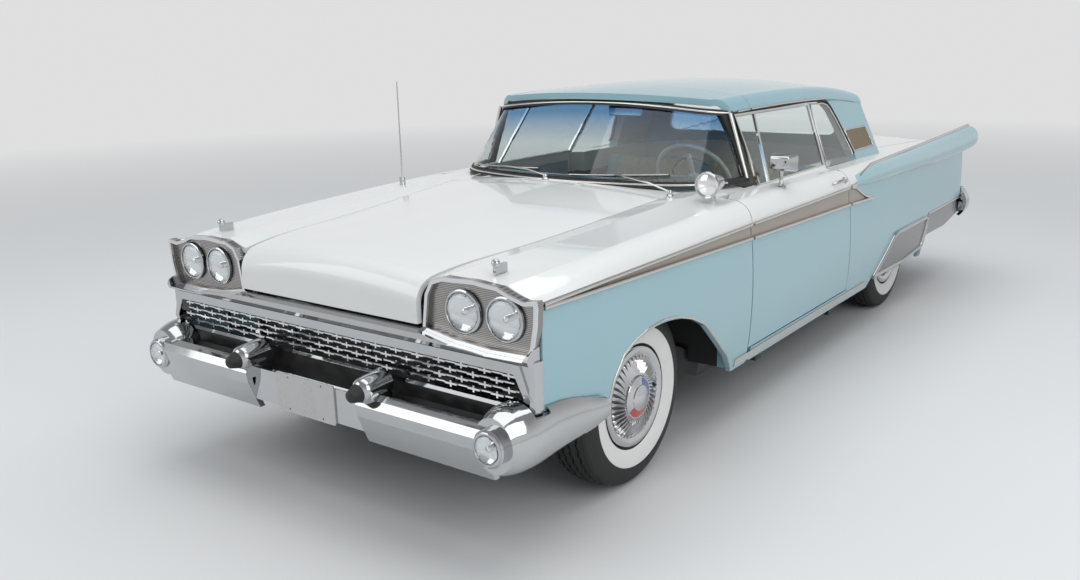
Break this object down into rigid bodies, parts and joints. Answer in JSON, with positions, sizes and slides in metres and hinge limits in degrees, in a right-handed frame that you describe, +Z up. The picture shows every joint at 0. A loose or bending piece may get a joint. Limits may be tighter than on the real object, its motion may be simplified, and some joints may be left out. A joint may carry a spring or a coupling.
{
  "type": "classic two-door car",
  "caption": "Full-size late-1950s style two-door hardtop car with opening doors, hood and deck lid, steered front wheels and a complete cabin.",
  "frame": {"origin": "on the ground under the middle of the overall length and width", "axes": "+Y towards the tail, +X towards the left (driver) side, +Z up"},
  "size_m": [1.9506, 5.2845, 1.48],
  "materials": {
    "white paint": "gloss paint",
    "blue paint": "gloss paint",
    "clear glass": "polished",
    "lamp glass": "polished",
    "red lens": "glossy",
    "chrome plate": "mirror bright",
    "bright metal": "brushed",
    "screen rubber": "matt",
    "black steel": "black paint",
    "grey iron": "satin",
    "plain steel": "satin",
    "wheel steel": "polished cover",
    "tyre rubber": "matt",
    "seat cloth": "woven",
    "wheel plastic": "glossy"
  },
  "bodies": {
    "body": {"aerial": "chrome plate", "body_shell": "white paint", "bumper_tips": "screen rubber", "dashboard": "blue paint", "drive_shaft": "black steel", "engine": "grey iron", "exhaust": "plain steel", "fender_left": "white paint", "fender_ornaments": "chrome plate", "fender_right": "white paint", "floor": "black steel", "frame": "black steel", "front_bumper": "chrome plate", "front_seat_back": "seat cloth", "front_seat_cushion": "seat cloth", "front_suspension": "black steel", "front_valance": "black steel", "fuel_tank": "plain steel", "gravel_shields": "bright metal", "grille_insert": "chrome plate", "grille_surround": "chrome plate", "headlamp_bezels": "chrome plate", "headlamps": "lamp glass", "number_plate": "chrome plate", "quarter_glass": "clear glass", "radiator": "black steel", "rear_axle": "black steel", "rear_bumper": "chrome plate", "rear_seat_back": "seat cloth", "rear_seat_cushion": "seat cloth", "rear_window": "clear glass", "reversing_lamps": "chrome plate", "roof": "blue paint", "roof_flap": "blue paint", "sill_mouldings": "bright metal", "spot_lamp": "chrome plate", "steering_column": "black steel", "tail_lamps": "red lens", "wheel_skirts": "bright metal", "windshield": "clear glass", "windshield_frame": "screen rubber"},
    "hood": {"hood": "white paint"},
    "deck_lid": {"deck_lid": "white paint"},
    "door_left": {"door_left": "white paint", "door_glass_left": "clear glass", "door_mirror": "chrome plate"},
    "door_right": {"door_right": "white paint", "door_glass_right": "clear glass"},
    "knuckle_left": {"knuckle_left": "black steel"},
    "knuckle_right": {"knuckle_right": "black steel"},
    "wheel_front_left": {"wheel_front_left": "wheel steel", "tyre_front_left": "tyre rubber"},
    "wheel_front_right": {"wheel_front_right": "wheel steel", "tyre_front_right": "tyre rubber"},
    "wheel_rear_left": {"wheel_rear_left": "wheel steel", "tyre_rear_left": "tyre rubber"},
    "wheel_rear_right": {"wheel_rear_right": "wheel steel", "tyre_rear_right": "tyre rubber"},
    "steering_wheel": {"steering_wheel": "wheel plastic"}
  },
  "joints": [
    {"name": "hood_hinge", "type": "hinge", "parent": "body", "child": "hood", "pos_m": [0, -1.048, 1.019], "axis": [-1, 0, 0], "range_deg": [0, 50]},
    {"name": "deck_lid_hinge", "type": "hinge", "parent": "body", "child": "deck_lid", "pos_m": [0, 2.402, 0.929], "axis": [-1, 0, 0], "range_deg": [0, 80]},
    {"name": "door_left_hinge", "type": "hinge", "parent": "body", "child": "door_left", "pos_m": [0.924, -0.83, 0.68], "axis": [0, 0, -1], "range_deg": [0, 65]},
    {"name": "door_right_hinge", "type": "hinge", "parent": "body", "child": "door_right", "pos_m": [-0.924, -0.83, 0.68], "axis": [0, 0, 1], "range_deg": [0, 65]},
    {"name": "steer_left", "type": "hinge", "parent": "body", "child": "knuckle_left", "pos_m": [0.6545, -1.69, 0.352], "axis": [0, 0, 1], "range_deg": [-30, 30]},
    {"name": "steer_right", "type": "hinge", "parent": "body", "child": "knuckle_right", "pos_m": [-0.6545, -1.69, 0.352], "axis": [0, 0, 1], "range_deg": [-30, 30]},
    {"name": "steering_wheel_turn", "type": "hinge", "parent": "body", "child": "steering_wheel", "pos_m": [0.39, -0.424, 0.976], "axis": [0, 0.8829, 0.4695], "range_deg": [-600, 600]},
    {"name": "wheel_front_left_spin", "type": "hinge", "parent": "knuckle_left", "child": "wheel_front_left", "pos_m": [0.7495, -1.69, 0.352], "axis": [1, 0, 0], "continuous": true},
    {"name": "wheel_front_right_spin", "type": "hinge", "parent": "knuckle_right", "child": "wheel_front_right", "pos_m": [-0.7495, -1.69, 0.352], "axis": [1, 0, 0], "continuous": true},
    {"name": "wheel_rear_left_spin", "type": "hinge", "parent": "body", "child": "wheel_rear_left", "pos_m": [0.7165, 1.307, 0.352], "axis": [1, 0, 0], "continuous": true},
    {"name": "wheel_rear_right_spin", "type": "hinge", "parent": "body", "child": "wheel_rear_right", "pos_m": [-0.7165, 1.307, 0.352], "axis": [1, 0, 0], "continuous": true}
  ],
  "couplings": [
    {"joint": "steer_right", "follows": "steer_left", "ratio": 1},
    {"joint": "steering_wheel_turn", "follows": "steer_left", "ratio": 20}
  ]
}
